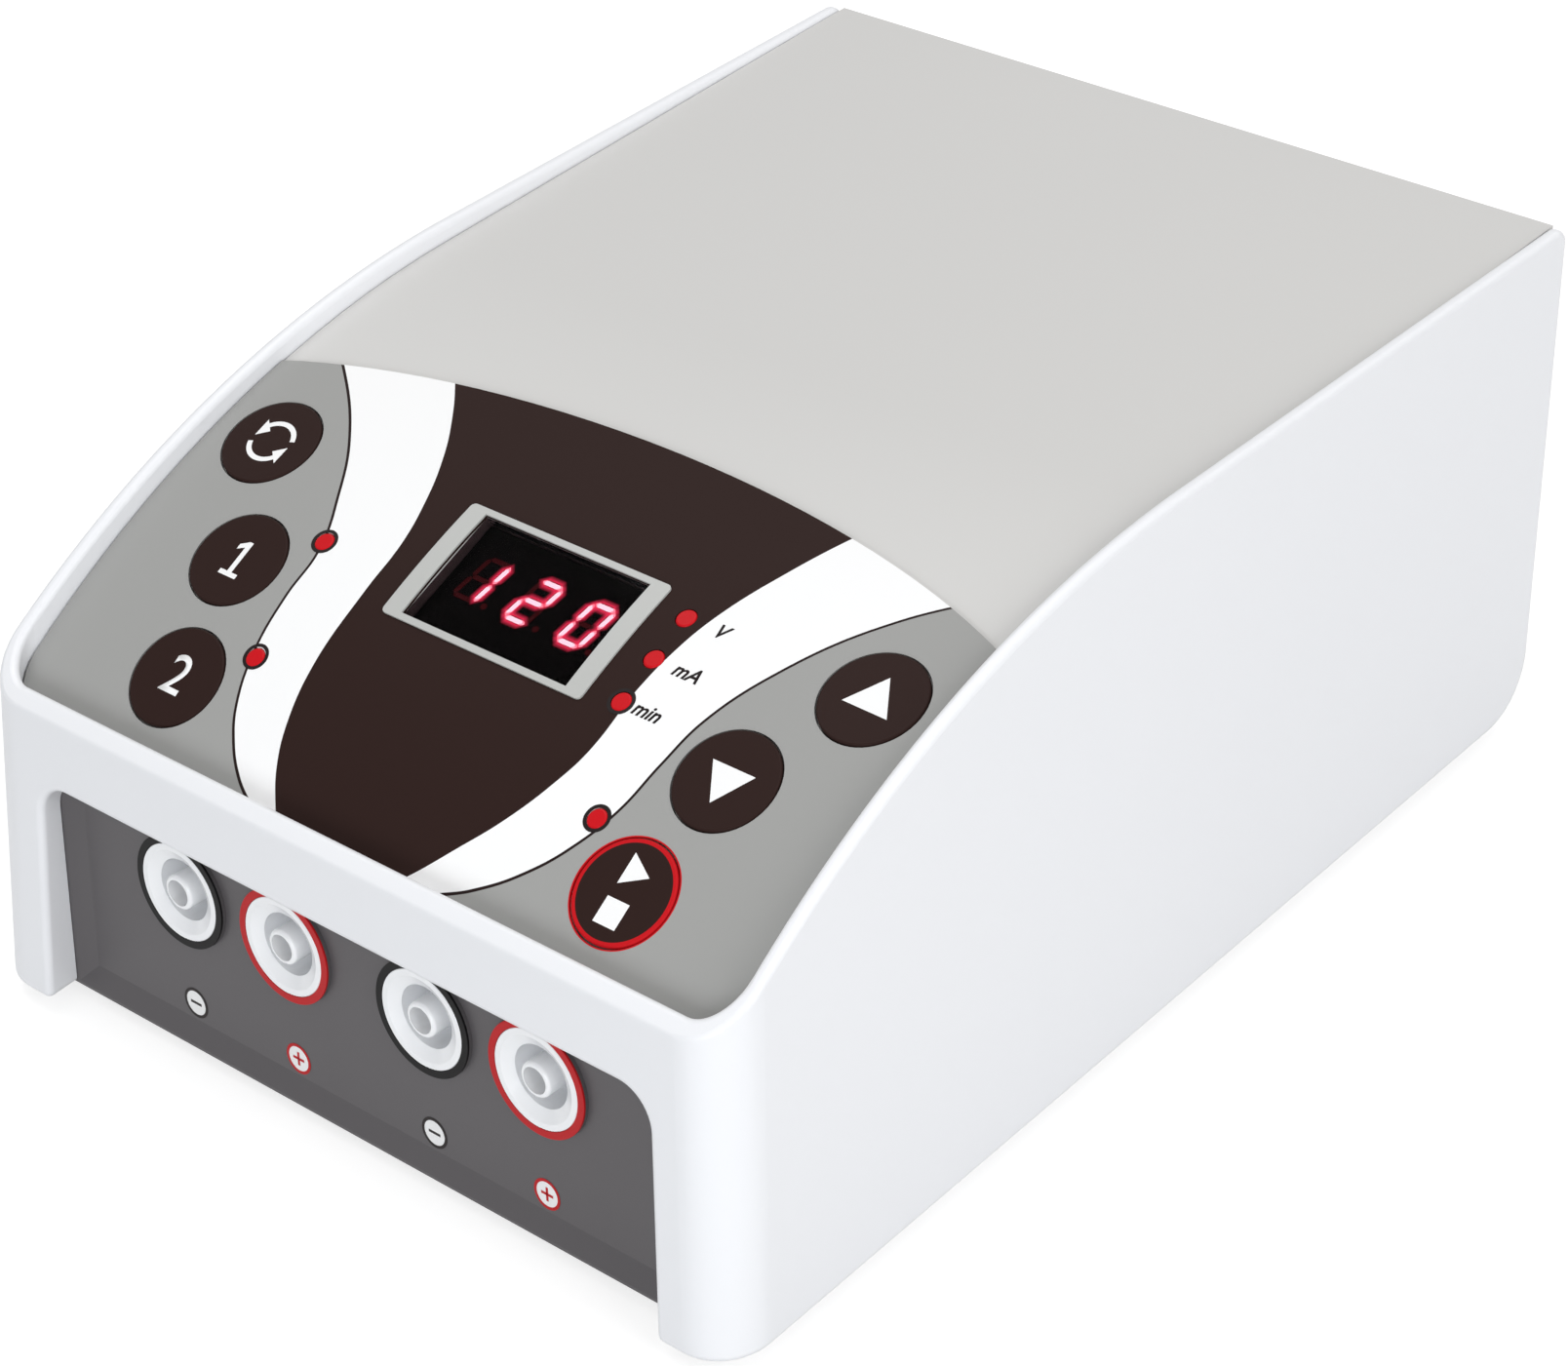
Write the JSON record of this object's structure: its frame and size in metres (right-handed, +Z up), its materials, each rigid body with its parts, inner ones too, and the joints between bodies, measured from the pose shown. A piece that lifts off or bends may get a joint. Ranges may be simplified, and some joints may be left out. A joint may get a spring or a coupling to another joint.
{
  "type": "electrophoresis power supply",
  "caption": "Small bench power supply for gel electrophoresis: arched white housing, membrane keypad with a red digital display, sheathed output sockets in a dark front recess.",
  "frame": {"origin": "middle of the housing's outline, on the bench that the feet stand on", "axes": "+X to the right seen from the front, +Y to the rear, +Z up"},
  "size_m": [0.145, 0.1931, 0.0786],
  "materials": {
    "shell_white": "fine satin moulded plastic",
    "cover_grey": "fine satin moulded plastic",
    "panel_dark": "fine matt moulded plastic",
    "film_print": "printed polyester film, satin",
    "key_cap": "printed key, satin",
    "socket_white": "smooth polyamide",
    "ring_black": "satin",
    "ring_red": "satin",
    "frame_silver": "silver print, satin",
    "filter_dark": "tinted clear sheet",
    "digit_lit": "lit bar",
    "digit_dark": "unlit bar",
    "black_plastic": "moulded plastic",
    "module_black": "matt black",
    "led_red": "tinted epoxy",
    "board_green": "solder mask",
    "rubber_black": "soft rubber",
    "screw_steel": "zinc plated",
    "contact_brass": "plated brass",
    "nickel": "nickel plate",
    "core_steel": "laminated steel",
    "winding_tape": "polyester tape",
    "can_black": "sleeved aluminium can",
    "aluminium": "extruded",
    "relay_blue": "moulded plastic",
    "copper_wire": "enamelled copper",
    "ribbon_grey": "flat cable",
    "lead_brown": "insulated lead",
    "fuse_glass": "clear glass tube"
  },
  "bodies": {
    "housing": {"outer_shell": "shell_white", "top_cover": "cover_grey", "rear_panel": "cover_grey", "base_tray": "cover_grey", "base_screws": "screw_steel", "rear_screws": "screw_steel", "rubber_feet": "rubber_black", "socket_panel": "panel_dark", "socket_ring_1": "ring_black", "socket_ring_2": "ring_red", "socket_ring_3": "ring_black", "socket_ring_4": "ring_red", "socket_body_1": "socket_white", "socket_body_2": "socket_white", "socket_body_3": "socket_white", "socket_body_4": "socket_white", "socket_contacts": "contact_brass", "socket_nuts": "socket_white", "output_board": "board_green", "membrane_film": "film_print", "key_switches": "black_plastic", "led_step_1": "led_red", "led_step_2": "led_red", "led_volts": "led_red", "led_milliamps": "led_red", "led_minutes": "led_red", "led_running": "led_red", "display_frame": "frame_silver", "display_filter": "filter_dark", "display_module": "module_black", "digit_bars_lit": "digit_lit", "digit_bars_dark": "digit_dark", "control_board": "board_green", "control_board_screws": "screw_steel", "mains_inlet": "black_plastic", "inlet_pins": "nickel", "switch_housing": "black_plastic", "switch_terminals": "nickel", "main_board": "board_green", "main_board_screws": "screw_steel", "transformer_core": "core_steel", "transformer_winding": "winding_tape", "bulk_capacitors": "can_black", "heat_sink": "aluminium", "power_transistors": "black_plastic", "output_relays": "relay_blue", "filter_choke": "copper_wire", "cable_headers": "black_plastic", "ribbon_cable": "ribbon_grey", "mains_leads": "lead_brown"},
    "key_mode": {"key_mode": "key_cap"},
    "key_step_1": {"key_step_1": "key_cap"},
    "key_step_2": {"key_step_2": "key_cap"},
    "key_up": {"key_up": "key_cap"},
    "key_down": {"key_down": "key_cap"},
    "key_start": {"key_start": "key_cap"},
    "switch_rocker": {"switch_rocker": "black_plastic"},
    "fuse_drawer": {"fuse_drawer": "black_plastic", "fuse_glass": "fuse_glass", "fuse_caps": "nickel"}
  },
  "joints": [
    {"name": "key_mode_press", "type": "slide", "parent": "housing", "child": "key_mode", "axis": [0, 0.2971, -0.9548], "range_m": [0, 0.0005], "stiffness_N_per_m": 1000},
    {"name": "key_step_1_press", "type": "slide", "parent": "housing", "child": "key_step_1", "axis": [0, 0.4095, -0.9123], "range_m": [0, 0.0005], "stiffness_N_per_m": 1000},
    {"name": "key_step_2_press", "type": "slide", "parent": "housing", "child": "key_step_2", "axis": [0, 0.518, -0.8554], "range_m": [0, 0.0005], "stiffness_N_per_m": 1000},
    {"name": "key_up_press", "type": "slide", "parent": "housing", "child": "key_up", "axis": [0, 0.2971, -0.9548], "range_m": [0, 0.0005], "stiffness_N_per_m": 1000},
    {"name": "key_down_press", "type": "slide", "parent": "housing", "child": "key_down", "axis": [0, 0.4095, -0.9123], "range_m": [0, 0.0005], "stiffness_N_per_m": 1000},
    {"name": "key_start_press", "type": "slide", "parent": "housing", "child": "key_start", "axis": [0, 0.518, -0.8554], "range_m": [0, 0.0005], "stiffness_N_per_m": 1000},
    {"name": "switch_rocker_tilt", "type": "hinge", "parent": "housing", "child": "switch_rocker", "pos_m": [0.044, 0.08766, 0.04071], "axis": [1, 0, 0], "range_deg": [0, 18]},
    {"name": "fuse_drawer_slide", "type": "slide", "parent": "housing", "child": "fuse_drawer", "axis": [0, 0.9783, -0.2071], "range_m": [0, 0.01]}
  ]
}
